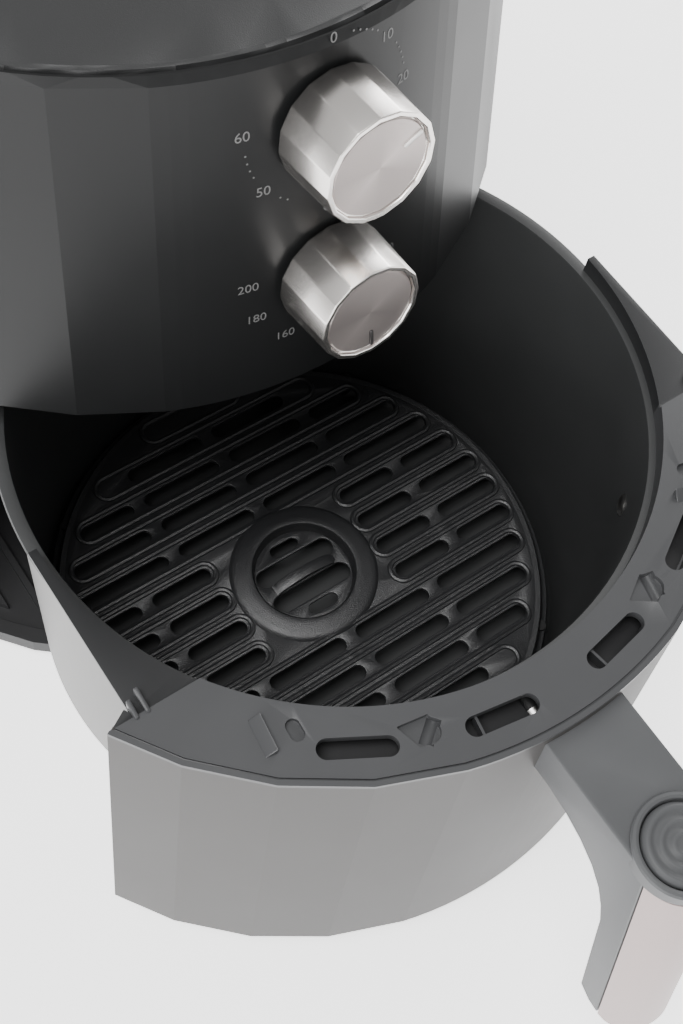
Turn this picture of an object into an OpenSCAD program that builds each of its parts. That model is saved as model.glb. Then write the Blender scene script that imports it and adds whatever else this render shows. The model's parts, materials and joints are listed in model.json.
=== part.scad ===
// Basket air fryer, drawn with its drawer pulled out.
// Body frame: front is -Y, up is +Z, the table is z = 0. Angles run from the front towards +X.

/* [Body] */
// Number of facets round the body
facet_count = 32; // [32:16:32]
// Corner radius of the body at its base
base_r = 141; // [139:0.5:143]
// Corner radius of the body at the top of the drawer opening
opening_r = 130; // [129:0.5:131]
// Corner radius of the body at its shoulder
shoulder_r = 116; // [115:0.5:117]
// Height of the top of the drawer opening
opening_z = 166.5; // [166:0.5:168]
// Height of the shoulder
shoulder_z = 280; // [278:1:284]
// Wall thickness of the plastic shells
wall = 2.5; // [2:0.5:3]
// Half the angle that the drawer opening takes up
opening_half_angle = 61; // [60.5:0.5:61.5]
// Half the angle of the smooth control panel
panel_half_angle = 22.5; // [22.5:11.25:33.75]

/* [Lid] */
// Radius of the round top cover
lid_r = 113.4; // [112:0.2:113.6]
// Width of the seam round the cover
lid_seam = 0.8; // [0.4:0.1:1]
// Rise of the cover's dome
lid_rise = 6; // [3:0.5:9]

/* [Drawer] */
// How far the drawer is pulled out at rest
pull = 130; // [100:1:140]
// Inner radius of the pan
pan_r = 99.4; // [98:0.2:99.6]
// Height of the pan's rim
pan_rim_z = 154.4; // [150:0.2:155]
// Distance from the body's axis forward to the pan's axis
pan_forward = 7; // [6:0.5:7]
// Thickness of the pan's metal
pan_wall = 1.2; // [1:0.1:1.4]
// Height of the collar's main surface
collar_z = 162; // [161.5:0.5:162]
// Height of the collar's outer band
band_z = 162.4; // [162.4:0.2:163]
// Half the angle of the front panel
panel_end_angle = 60; // [58:0.5:60]

/* [Handle] */
// Width of the handle
handle_w = 28; // [26:1:30]
// Distance from the body's axis to the round end of the handle, with the drawer closed
handle_reach = 172; // [168:1:176]
// How far the grip leans out from top to bottom
grip_lean = 24; // [16:1:28]
// Height of the bottom of the grip
grip_bottom_z = 52; // [45:1:60]

/* [Grill plate] */
// Radius of the raised part of the grill plate
grill_r = 92.5; // [91:0.5:93]
// Height of the raised part
grill_z = 31; // [29:0.5:34]
// Distance between two rows of slots
row_pitch = 13; // [13:0.1:13.2]
// Width of a slot
slot_w = 5.8; // [5:0.2:6.4]

/* [Controls] */
// Height of the timer knob
timer_z = 258.5; // [257.5:0.5:261]
// Height of the temperature knob
temperature_z = 208; // [207:0.5:210]
// Radius of a knob at its face
knob_r = 16; // [15:0.5:17]
// Length of a knob
knob_h = 20; // [18:0.5:22]
// Number of flats round a knob
knob_flats = 16; // [14:1:20]
// Direction of the timer pointer, clockwise from straight up
timer_angle = 62; // [0:1:360]
// Direction of the temperature pointer, clockwise from straight up
temperature_angle = 176; // [0:1:360]

/* [Hidden] */
$fn = 96;

eps = 0.01;
knob_gap = 1.2;
knob_face_z = knob_gap + knob_h - 1;
facet = 360 / facet_count;
fine_step = facet / 5;
base_z = 12;
handle_front = handle_reach + handle_w / 2 + grip_lean;
// The origin is the middle of the footprint, so the body's axis lies behind it.
axis_y = (pull + handle_front - base_r) / 2;
tilt = atan((opening_r - shoulder_r) / (shoulder_z - opening_z));
lid_hole_r = lid_r + lid_seam;
lid_edge_z = shoulder_z + 2.6;
panel_smooth = facet * 1.5;
panel_top_z = 161;
panel_bottom_z = 12.8;
panel_t = 3;
pan_outer_r = pan_r + pan_wall;
pan_floor_z = 15;
pan_flange_r = 104;
bay_half_w = 107.5;
bay_t = 1.6;
deck_t = 2;
deck_z = opening_z + deck_t;
chamber_r = 101;
chamber_top_z = 214;
chamber_t = 0.8;
flange_r = 107.5;
shaft_r = 4;
shaft_gap = 0.05;
spindle_r = 3;
screw_r = 1.6;
screw_hole_r = 1.7;
foot_angles = [45, 135, 225, 315];
base_screw_in = 7;
cover_screw_angles = [60, 180, 300];
cover_screw_r = 95;
deck_screw_at = 104.8;
switch_xy = [72, -93.2];
switch_turn = 39.9;
bumper_at = 95;
riser_angles = [200, 216];
riser_at = 82;
base_screw_angles = [75, 128, 232, 285];
collar_slot_angles = [-29.7, -9.9, 9.9, 29.7];
collar_slot_r = 119.2;
collar_scoop_angles = [-20.2, 20.2];
plunger_z = 165.1;
rivet_angles = [-46, 46];
handle_screw_x = 8;
handle_screw_z = 150;
dark_grey = [0.24, 0.24, 0.25];
mid_grey = [0.37, 0.37, 0.38];
warm_grey = [0.58, 0.57, 0.56];
champagne = [0.80, 0.76, 0.73];
black = [0.07, 0.07, 0.08];
steel = [0.70, 0.71, 0.72];

// Corner radius of the body's outer surface at height z
function outer_r(z) = z > opening_z
    ? opening_r + (shoulder_r - opening_r) * (z - opening_z) / (shoulder_z - opening_z)
    : base_r + (opening_r - base_r) * (z - base_z) / (opening_z - base_z);
function at_angle(r, a) = [r * sin(a), -r * cos(a)];
function facet_points(r, smooth) = concat(
    [for (a = [-smooth : fine_step : smooth - fine_step / 2]) at_angle(r, a)],
    [for (a = [smooth : facet : 360 - smooth - facet / 2]) at_angle(r, a)]);
function arc_points(cx, cz, r, a0, a1, steps) =
    [for (i = [0 : steps]) [cx + r * cos(a0 + (a1 - a0) * i / steps),
        cz + r * sin(a0 + (a1 - a0) * i / steps)]];

module in_body() { translate([0, axis_y, 0]) children(); }
module in_drawer() { translate([0, axis_y - pull, 0]) children(); }
module at_pan() { translate([0, -pan_forward, 0]) children(); }
module at_polar(r, a, z) { rotate([0, 0, a]) translate([0, -r, z]) children(); }
// Local +Z points out of the control panel, local +Y up it
module at_panel(z) { translate([0, -outer_r(z), z]) rotate([90 - tilt, 0, 0]) children(); }
module disc(r, z0, z1) { translate([0, 0, z0]) cylinder(r = r, h = z1 - z0); }
module tube(r_out, r_in, z0, z1) {
    difference() {
        disc(r_out, z0, z1);
        disc(r_in, z0 - 1, z1 + 1);
    }
}
module facet_cone(z0, z1, r0, r1, smooth) {
    translate([0, 0, z0]) linear_extrude(z1 - z0, scale = r1 / r0) polygon(facet_points(r0, smooth));
}
module sector(r, half_angle, z0, z1) {
    steps = 6;
    rim = [for (i = [0 : steps]) at_angle(r, half_angle * (2 * i / steps - 1))];
    translate([0, 0, z0]) linear_extrude(z1 - z0) polygon(concat([[0, 0]], rim));
}
module box(x0, x1, y0, y1, z0, z1) { translate([x0, y0, z0]) cube([x1 - x0, y1 - y0, z1 - z0]); }
module slot(length, width, depth) {
    half = (length - width) / 2;
    translate([-half, -width / 2, 0]) cube([2 * half, width, depth]);
    for (s = [-1, 1]) translate([s * half, 0, 0]) cylinder(d = width, h = depth);
}
module screw(head_r, head_h, shank_l) {
    difference() {
        union() {
            cylinder(r = head_r, h = head_h);
            translate([0, 0, head_h]) cylinder(r = screw_r, h = shank_l);
        }
        for (a = [0, 90]) rotate([0, 0, a]) translate([-head_r * 0.6, -0.4, -eps]) cube([head_r * 1.2, 0.8, 0.8]);
    }
}

// ---- Base ----
module base_shell() {
    lip_r = 135;
    color(dark_grey) in_body() difference() {
        facet_cone(5, base_z, outer_r(5), outer_r(base_z), panel_half_angle);
        disc(lip_r, 7, base_z + 1);
        for (a = foot_angles) at_polar(112, a, 4) cylinder(r = 9.05, h = 1.6);
        for (a = base_screw_angles) at_polar(outer_r(base_z) - base_screw_in, a, 4) cylinder(r = screw_hole_r, h = 10);
        for (a = [0 : 20 : 340]) at_polar(50, a, 4) slot(14, 3, 5);
    }
}
module rubber_feet() {
    color(black) in_body() for (a = foot_angles) at_polar(112, a, 0) {
        cylinder(r1 = 8, r2 = 9, h = 2);
        translate([0, 0, 2]) cylinder(r = 9, h = 3.6);
    }
}
module base_screws() {
    color(steel) in_body() for (a = base_screw_angles)
        at_polar(outer_r(base_z) - base_screw_in, a, 2.8) screw(3, 2.2, 18);
}
module floor_tray() {
    rib_h = 3.5;
    rib_r = 130;
    color(black) in_body() {
        difference() {
            union() {
                tube(134.6, 131.6, 7, 9.4);
                disc(134.6, 9.4, 11);
            }
            for (a = base_screw_angles) at_polar(outer_r(base_z) - base_screw_in, a, 6) cylinder(r = 2, h = 6);
        }
        intersection() {
            disc(rib_r, 11, 11 + rib_h);
            union() {
                for (i = [-6 : 6]) box(i * 15 - 1.2, i * 15 + 1.2, -rib_r, -pan_forward, 11, 11 + rib_h);
                for (s = [-1, 1]) box(s * 102 - 1.2, s * 102 + 1.2, -rib_r, -pan_forward - 20, 11, 11 + rib_h);
            }
        }
        intersection() {
            at_pan() disc(100, 11, 11 + rib_h);
            for (i = [-6 : 6]) box(i * 15 - 1.2, i * 15 + 1.2, -pan_forward, 130, 11, 11 + rib_h);
        }
    }
}

// ---- Housing ----
module lower_wall() {
    difference() {
        union() {
            difference() {
                facet_cone(base_z, opening_z, outer_r(base_z), opening_r, panel_half_angle);
                facet_cone(base_z - eps, opening_z + eps, outer_r(base_z) - wall, opening_r - wall,
                    panel_half_angle);
                sector(200, opening_half_angle, 0, opening_z + 1);
            }
            for (a = base_screw_angles) at_polar(outer_r(base_z) - base_screw_in, a, base_z)
                cylinder(r = 4.5, h = 14);
        }
        for (a = base_screw_angles) at_polar(outer_r(base_z) - base_screw_in, a, base_z - 1)
            cylinder(r = screw_hole_r, h = 20);
        translate([0, 150, 42]) rotate([90, 0, 0]) cylinder(r = 8, h = 30);
    }
}
module lower_housing_left() {
    color(dark_grey) in_body() intersection() {
        lower_wall();
        box(-200, 0, -200, 200, 0, 200);
    }
}
module lower_housing_right() {
    color(dark_grey) in_body() intersection() {
        lower_wall();
        box(0, 200, -200, 200, 0, 200);
    }
}
module upper_housing() {
    vent_z = 226;
    color(dark_grey) in_body() difference() {
        union() {
            difference() {
                union() {
                    facet_cone(opening_z, shoulder_z, opening_r, shoulder_r, panel_half_angle);
                    hull() {
                        translate([0, 0, shoulder_z - 0.1]) linear_extrude(0.1)
                            polygon(facet_points(shoulder_r, panel_half_angle));
                        disc(lid_hole_r + 0.6, lid_edge_z - 0.1, lid_edge_z);
                    }
                }
                facet_cone(opening_z - eps, shoulder_z - 7, opening_r - wall, outer_r(shoulder_z - 7) - wall,
                    panel_half_angle);
                disc(lid_hole_r - 7, shoulder_z - 8, shoulder_z);
                disc(lid_hole_r, shoulder_z - 4.4, lid_edge_z + 1);
            }
            for (a = cover_screw_angles) rotate([0, 0, a]) box(-6, 6, -116, -89, 265, 267.9);
        }
        for (z = [timer_z, temperature_z]) at_panel(z) translate([0, 0, -wall - 3]) cylinder(r = 4.5, h = 10);
        for (a = cover_screw_angles) at_polar(cover_screw_r, a, 264) cylinder(r = screw_hole_r, h = 5);
        box(-27, 27, 100, 130, vent_z - 18, vent_z + 18);
        for (sx = [-1, 1], sz = [-1, 1]) translate([sx * 31, 130, vent_z + sz * 18]) rotate([90, 0, 0])
            cylinder(r = screw_hole_r, h = 30);
    }
}
module top_cover() {
    skirt_r = lid_hole_r - 8;
    steps = 8;
    dome = [for (i = [steps : -1 : 0]) [(lid_r - 1.6) * i / steps,
        lid_edge_z + 0.6 + lid_rise * (1 - pow(i / steps, 2))]];
    under = [for (i = [0 : steps]) [skirt_r * i / steps,
        lid_edge_z - 2 + lid_rise * (1 - pow(i / steps, 2))]];
    color(dark_grey) in_body() {
        rotate_extrude() polygon(concat(dome, under, [[skirt_r, shoulder_z - 4.3], [lid_r, shoulder_z - 4.3],
            [lid_r, lid_edge_z - 0.8], [lid_r - 0.5, lid_edge_z + 0.2]]));
        for (a = cover_screw_angles) at_polar(cover_screw_r, a, 268) difference() {
            cylinder(r = 4, h = 14.5);
            translate([0, 0, -1]) cylinder(r = screw_hole_r, h = 12);
        }
    }
}
module cover_screws() {
    color(steel) in_body() for (a = cover_screw_angles)
        at_polar(cover_screw_r, a, 263) screw(3, 2, 12);
}
module inner_deck() {
    color(black) in_body() difference() {
        facet_cone(opening_z, deck_z, opening_r - wall - 0.5, outer_r(deck_z) - wall - 0.5, panel_half_angle);
        at_pan() disc(chamber_r + chamber_t + 0.6, opening_z - 1, deck_z + 1);
        translate([switch_xy[0], switch_xy[1], 0]) disc(2.2, opening_z - 1, deck_z + 1);
        at_pan() for (a = [30, 150, 210, 330]) at_polar(deck_screw_at, a, opening_z - 1) cylinder(r = screw_hole_r, h = 5);
    }
}
module deck_screws() {
    color(steel) in_body() at_pan() for (a = [30, 150, 210, 330])
        at_polar(deck_screw_at, a, deck_z + chamber_t + 2) rotate([180, 0, 0]) screw(2.4, 2, 4.5);
}
module bay_outline(grow) {
    at_pan() circle(r = bay_half_w + grow);
    translate([-bay_half_w - grow, -60]) square([2 * (bay_half_w + grow), 60 - pan_forward]);
}
module drawer_bay() {
    flange_y = -60;
    color(black) in_body() {
        difference() {
            translate([0, 0, 11]) linear_extrude(opening_z - 11) bay_outline(bay_t);
            translate([0, 0, 10]) linear_extrude(opening_z) bay_outline(0);
            box(-bay_half_w, bay_half_w, -130, flange_y, 10, opening_z + 1);
            box(-130, 130, -130, flange_y, 10, opening_z + 1);
        }
        for (s = [-1, 1]) translate([0, flange_y + 2, 0]) rotate([90, 0, 0]) linear_extrude(2)
            polygon([[s * (bay_half_w + bay_t), 14.6], [s * 122, 14.6], [s * 111.5, opening_z],
                [s * (bay_half_w + bay_t), opening_z]]);
    }
}

// ---- Hot end ----
module cooking_chamber() {
    hole_r = 12;
    color(steel) in_body() at_pan() difference() {
        union() {
            tube(flange_r, chamber_r, deck_z, deck_z + chamber_t);
            tube(chamber_r + chamber_t, chamber_r, deck_z, chamber_top_z);
            tube(chamber_r + chamber_t, hole_r, chamber_top_z, chamber_top_z + chamber_t);
        }
        for (a = riser_angles) at_polar(riser_at, a, chamber_top_z - 1) cylinder(r = 3.6, h = 4);
        for (a = [30, 150, 210, 330]) at_polar(deck_screw_at, a, deck_z - 1) cylinder(r = screw_hole_r, h = 5);
        translate([0, -90, 187]) rotate([90, 0, 0]) cylinder(r = 1.9, h = 20);
        for (a = [60, 150, 240, 330]) at_polar(56, a, chamber_top_z - 1) cylinder(r = screw_hole_r, h = 4);
    }
}
module element_guard() {
    wire_r = 1;
    color(steel) in_body() at_pan() translate([0, 0, 171]) {
        for (r = [16, 34, 52, 70, 88]) rotate_extrude() translate([r, 0]) circle(r = wire_r, $fn = 16);
        for (a = [0, 60, 120]) rotate([0, 0, a]) translate([-chamber_r + 0.1, 0, 0]) rotate([0, 90, 0])
            cylinder(r = wire_r, h = 2 * chamber_r - 0.2, $fn = 16);
    }
}
module heating_element() {
    tube_r = 3.2;
    color([0.35, 0.33, 0.32]) in_body() at_pan() translate([0, 0, 180]) {
        for (r = [68, 82]) rotate_extrude() translate([r, 0]) circle(r = tube_r, $fn = 24);
        for (a = riser_angles) at_polar(riser_at, a, 0) {
            cylinder(r = tube_r, h = 44);
            translate([0, 0, 44]) cylinder(r = 1.2, h = 8);
        }
        at_polar(75, 208, 0) rotate([90, 0, 0]) cylinder(r = tube_r, h = 14, center = true);
    }
}
module element_clips() {
    color(steel) in_body() at_pan() for (a = [20, 140, 260]) at_polar(0, a, 0) {
        box(-4, 4, -chamber_r + 0.1, -62, 183.4, 184.6);
        box(-4, 4, -63.2, -62, 176, 183.4);
        box(-4, 4, -chamber_r + 0.1, -chamber_r + 1.3, 176, 183.4);
    }
}
module fan_shroud() {
    color(steel) in_body() at_pan() difference() {
        union() {
            tube(chamber_r - 0.1, 66, 190, 190.8);
            tube(66.8, 66, 190.8, 196);
        }
        for (a = riser_angles) at_polar(riser_at, a, 189) cylinder(r = 3.6, h = 4);
    }
}
module motor_bracket() {
    color(steel) in_body() at_pan() {
        difference() {
            disc(60, 224, 225.6);
            disc(8, 223, 227);
            for (a = [15, 105, 195, 285]) at_polar(34, a, 223) cylinder(r = 10, h = 4);
            for (a = [60, 150, 240, 330]) at_polar(56, a, 223) cylinder(r = screw_hole_r, h = 4);
        }
        for (a = [60, 150, 240, 330]) at_polar(56, a, 0) tube(3.6, screw_hole_r, chamber_top_z + chamber_t, 224);
    }
}
module motor_screws() {
    color(steel) in_body() at_pan() for (a = [60, 150, 240, 330])
        at_polar(56, a, 227.6) rotate([180, 0, 0]) screw(2.8, 2, 13);
}
module motor_housing() {
    color([0.45, 0.46, 0.48]) in_body() at_pan() difference() {
        union() {
            disc(30, 225.6, 254);
            tube(33, 29, 234, 246);
        }
        disc(8, 220, 260);
        tube(26, 12, 231, 249);
    }
}
module motor_bearings() {
    color([0.75, 0.55, 0.25]) in_body() at_pan() for (z = [225.8, 249])
        tube(8, shaft_r + shaft_gap, z, z + 4.8);
}

// ---- Controls inside the housing ----
module timer_unit() {
    color([0.75, 0.74, 0.70]) in_body() at_panel(timer_z) difference() {
        union() {
            box(-22, 22, -19, 11.5, -26, -5.8);
            box(-25, 25, -6, 6, -7.6, -5.8);
            translate([0, 0, -5.8]) cylinder(r = 4.4, h = 4.5);
        }
        translate([0, 0, -27]) cylinder(r = spindle_r + shaft_gap, h = 40);
    }
}
module timer_bell() {
    color(steel) in_body() at_panel(timer_z) difference() {
        translate([0, 0, -32.8]) cylinder(r = 15, h = 6.8);
        translate([0, 0, -31.8]) cylinder(r = 14.2, h = 6);
    }
}
module thermostat_unit() {
    color([0.86, 0.84, 0.78]) in_body() at_panel(temperature_z) difference() {
        union() {
            box(-18, 18, -24, 14, -14.2, -4.6);
            translate([0, 0, -4.6]) cylinder(r = 4.4, h = 3.3);
        }
        translate([0, 0, -13]) cylinder(r = spindle_r + shaft_gap, h = 40);
    }
}
module thermostat_probe() {
    color([0.72, 0.45, 0.30]) in_body() translate([0, -95, 187]) rotate([90, 0, 0]) cylinder(r = 1.8, h = 17.9);
}
module terminal_block() {
    color([0.9, 0.9, 0.86]) in_body() difference() {
        box(-18, 18, 104, 117, deck_z, deck_z + 12);
        for (i = [-1 : 1]) translate([i * 11, 103, deck_z + 6]) rotate([-90, 0, 0]) cylinder(r = 2, h = 16);
    }
}
module thermal_fuse() {
    color(steel) in_body() at_pan() at_polar(78, 170, chamber_top_z + chamber_t + 2.4) {
        rotate([0, 90, 0]) cylinder(r = 2.2, h = 11, center = true);
        translate([-1.5, -1.5, -2.4]) cube([3, 3, 2.4]);
    }
}
module interlock_switch() {
    color([0.55, 0.12, 0.10]) in_body() translate([switch_xy[0], switch_xy[1], deck_z])
        rotate([0, 0, switch_turn]) difference() {
        translate([-10, -4, 0]) cube([20, 8, 12]);
        translate([0, 0, -1]) cylinder(r = 2.05, h = 10);
    }
}
module interlock_plunger() {
    color([0.9, 0.9, 0.88]) in_body() translate([switch_xy[0], switch_xy[1], plunger_z]) {
        cylinder(r1 = 1.4, r2 = 2, h = 1);
        translate([0, 0, 1]) cylinder(r = 2, h = 5.4);
    }
}
module rear_vent() {
    vent_z = 226;
    back = 136;
    color(black) in_body() difference() {
        box(-36, 36, 112, back, vent_z - 25, vent_z + 25);
        box(-33, 33, 111, back - 2.4, vent_z - 16.6, vent_z + 16.6);
        facet_cone(vent_z - 26, vent_z + 26, outer_r(vent_z - 26) + 0.1, outer_r(vent_z + 26) + 0.1,
            panel_half_angle);
        for (i = [-2 : 2]) box(-30, 30, back - 5, back + 1, vent_z + i * 6.4 - 1.6, vent_z + i * 6.4 + 1.6);
        for (sx = [-1, 1], sz = [-1, 1]) translate([sx * 31, back + 1, vent_z + sz * 18])
            rotate([90, 0, 0]) cylinder(r = screw_hole_r, h = 30);
    }
}
module vent_screws() {
    vent_z = 226;
    color(steel) in_body() for (sx = [-1, 1], sz = [-1, 1])
        translate([sx * 31, 138, vent_z + sz * 18]) rotate([90, 0, 0]) screw(2.8, 2, 24);
}
module cord_gland() {
    color(black) in_body() translate([0, 0, 42]) rotate([-90, 0, 0]) difference() {
        union() {
            translate([0, 0, 128.4]) cylinder(r = 7.95, h = 13);
            translate([0, 0, 139.8]) cylinder(r = 10.5, h = 1.6);
            translate([0, 0, 132.4]) cylinder(r = 9.6, h = 2.4);
        }
        translate([0, 0, 120]) cylinder(r = 3.6, h = 30);
    }
}

// ---- Fan group ----
module fan_blades(count, r0, r1, z0, z1) {
    for (i = [0 : count - 1]) rotate([0, 0, i * 360 / count]) box(r0, r1, -0.5, 0.5, z0, z1);
}
module hot_air_fan() {
    color(steel) in_body() at_pan() difference() {
        union() {
            disc(9, 194, 208);
            disc(60, 204, 204.8);
            fan_blades(12, 8, 60, 197.5, 204.4);
        }
        disc(shaft_r, 190, 212);
    }
}
module fan_nut() {
    color(steel) in_body() at_pan() difference() {
        translate([0, 0, 190.4]) cylinder(r = 6.5, h = 3.6, $fn = 6);
        disc(shaft_r, 185, 200);
    }
}
module motor_shaft() {
    color(steel) in_body() at_pan() {
        disc(shaft_r, 189, 256.4);
        disc(3, 188.4, 189);
    }
}
module motor_rotor() {
    color([0.5, 0.5, 0.52]) in_body() at_pan() tube(7.6, shaft_r, 232, 247);
}
module cooling_fan() {
    color([0.2, 0.2, 0.2]) in_body() at_pan() difference() {
        union() {
            disc(8.5, 216.4, 222.6);
            disc(40, 216.8, 217.8);
            fan_blades(9, 8, 46, 216.8, 222);
        }
        disc(shaft_r, 210, 226);
    }
}

// ---- Knobs, in the panel's local frame ----
module knob_shell(z, twist) {
    base_gap = knob_gap;
    bevel = 1;
    taper = 0.96;
    flats = [for (i = [0 : knob_flats - 1]) at_angle(1, i * 360 / knob_flats)];
    in_body() at_panel(z) rotate([0, 0, -twist]) difference() {
        union() {
            translate([0, 0, base_gap]) linear_extrude(knob_h - bevel, scale = taper)
                polygon(flats * (knob_r / taper));
            translate([0, 0, base_gap + knob_h - bevel]) linear_extrude(bevel, scale = 1 - bevel / knob_r)
                polygon(flats * knob_r);
        }
        translate([0, 0, base_gap + knob_h - 1]) cylinder(r = knob_r - 1.9, h = 2);
        difference() {
            translate([0, 0, base_gap - 1]) cylinder(r = knob_r - 2.2, h = knob_h - 3);
            translate([0, 0, base_gap - 1]) cylinder(r = 5, h = knob_h);
        }
        cylinder(r = spindle_r, h = knob_h - 4);
    }
}
module knob_disc(z) {
    in_body() at_panel(z) translate([0, 0, knob_face_z]) cylinder(r = knob_r - 2, h = 0.5);
}
module knob_pointer(z, twist) {
    in_body() at_panel(z) rotate([0, 0, -twist]) translate([-0.6, knob_r - 8.6, knob_face_z + 0.5])
        cube([1.2, 6, 0.5]);
}
module knob_spindle(z, back) {
    in_body() at_panel(z) translate([0, 0, -back]) cylinder(r = spindle_r, h = back + knob_h - 5);
}
module timer_knob() { color(champagne) knob_shell(timer_z, timer_angle); }
module timer_knob_disc() { color(champagne) knob_disc(timer_z); }
module timer_pointer() { color(steel) knob_pointer(timer_z, timer_angle); }
module timer_spindle() { color(steel) knob_spindle(timer_z, 20); }
module temperature_knob() { color(champagne) knob_shell(temperature_z, temperature_angle); }
module temperature_knob_disc() { color(champagne) knob_disc(temperature_z); }
module temperature_pointer() { color(dark_grey) knob_pointer(temperature_z, temperature_angle); }
module temperature_spindle() { color(steel) knob_spindle(temperature_z, 12.8); }

// ---- Drawer ----
module pan_profile(r, floor_z, corner) {
    polygon(concat([[0, floor_z]], arc_points(r - corner, floor_z + corner, corner, -90, 0, 6),
        [[r, pan_rim_z], [0, pan_rim_z]]));
}
module pan() {
    corner = 9;
    color(black) in_drawer() at_pan() difference() {
        union() {
            rotate_extrude() pan_profile(pan_outer_r, pan_floor_z, corner);
            disc(pan_flange_r, pan_rim_z - 1.4, pan_rim_z);
        }
        rotate_extrude() translate([0, 0]) polygon(concat([[0, pan_floor_z + pan_wall]],
            arc_points(pan_r - corner + pan_wall, pan_floor_z + corner, corner - pan_wall, -90, 0, 6),
            [[pan_r, pan_rim_z + 1], [0, pan_rim_z + 1]]));
        for (a = rivet_angles) at_polar(90, a, 127) rotate([90, 0, 0]) cylinder(r = 2, h = 20);
    }
}
module pan_rivets() {
    color(steel) in_drawer() at_pan() for (a = rivet_angles) at_polar(0, a, 127) rotate([90, 0, 0]) {
        translate([0, 0, pan_r - 1.2]) cylinder(r1 = 2.6, r2 = 3.6, h = 1);
        translate([0, 0, pan_r - 0.2]) cylinder(r = 2, h = pan_wall + 1.4);
    }
}
module collar_outline() {
    inner_edge = 101.8;
    side_x = 104.5;
    difference() {
        intersection() {
            circle(r = 122.4);
            translate([-side_x, -130]) square([2 * side_x, 130 - pan_forward]);
        }
        translate([0, -pan_forward]) circle(r = inner_edge);
    }
}
module collar_scoop_shape() {
    hull() {
        circle(r = 3.6);
        translate([-7.6, 2.8]) circle(r = 0.4);
        translate([-3.1, -3.4]) circle(r = 0.4);
        translate([0.9, 4.4]) circle(r = 0.4);
    }
}
module collar_ring(inset, z0, z1) {
    facet_cone(z0, z1, outer_r(collar_z) - inset, outer_r(collar_z) - inset, panel_smooth);
}
module pan_collar() {
    groove_in = 2.3;
    groove_out = 1.6;
    color(mid_grey) in_drawer() difference() {
        union() {
            translate([0, 0, collar_z - 3]) linear_extrude(3) collar_outline();
            at_pan() intersection() {
                tube(104, 101.8, pan_rim_z, collar_z - 3);
                box(-120, 120, -120, 0, pan_rim_z, collar_z);
            }
            intersection() {
                difference() {
                    union() {
                        facet_cone(panel_top_z, collar_z, outer_r(panel_top_z), outer_r(collar_z), panel_smooth);
                        difference() {
                            facet_cone(collar_z, band_z, outer_r(collar_z), outer_r(band_z), panel_smooth);
                            collar_ring(groove_out, collar_z - 1, band_z + 1);
                        }
                        facet_cone(154, panel_top_z, outer_r(154) - panel_t, outer_r(panel_top_z) - panel_t,
                            panel_smooth);
                    }
                    disc(121.6, 150, 170);
                }
                sector(200, panel_end_angle, 150, 170);
            }
        }
        for (a = collar_slot_angles) at_polar(collar_slot_r, a, collar_z - 8) slot(22.6, 6, 12);
        for (a = collar_scoop_angles) at_polar(collar_slot_r - 1.8, a, collar_z - 1.8) linear_extrude(2)
            collar_scoop_shape();
        difference() {
            collar_ring(groove_out, collar_z - 0.9, 170);
            collar_ring(groove_in, collar_z - 1.9, 171);
        }
    }
}
module front_panel() {
    color(warm_grey) in_drawer() difference() {
        intersection() {
            facet_cone(panel_bottom_z, panel_top_z, outer_r(panel_bottom_z), outer_r(panel_top_z), panel_smooth);
            sector(200, panel_end_angle, 0, 200);
        }
        facet_cone(panel_bottom_z - eps, panel_top_z + eps, outer_r(panel_bottom_z) - panel_t,
            outer_r(panel_top_z) - panel_t, panel_smooth);
        for (s = [-1, 1]) translate([s * handle_screw_x, -120, handle_screw_z]) rotate([90, 0, 0])
            cylinder(r = 2, h = 30);
    }
}
module panel_frame() {
    gap = 0.25;
    spine_w = 32;
    frame_top = 153;
    color(mid_grey) in_drawer() difference() {
        intersection() {
            facet_cone(30, frame_top, outer_r(30) - panel_t - gap, outer_r(frame_top) - panel_t - gap,
                panel_smooth);
            union() {
                for (z = [30, 70, 110, frame_top - 2.4]) sector(200, 57, z, z + 2.4);
                box(-spine_w / 2, spine_w / 2, -140, -90, 30, frame_top);
            }
        }
        at_pan() disc(pan_outer_r + gap, 0, 200);
        box(-spine_w / 2 + 2.4, spine_w / 2 - 2.4, -outer_r(96) + 8, -90, 33, 140);
        for (s = [-1, 1]) translate([s * handle_screw_x, -100, handle_screw_z]) rotate([90, 0, 0]) {
            cylinder(r = 2, h = 40);
            cylinder(r = 4, h = 21.4);
        }
        for (a = rivet_angles) at_pan() at_polar(0, a, 127) rotate([90, 0, 0]) cylinder(r = 5, h = 106);
    }
}

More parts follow.
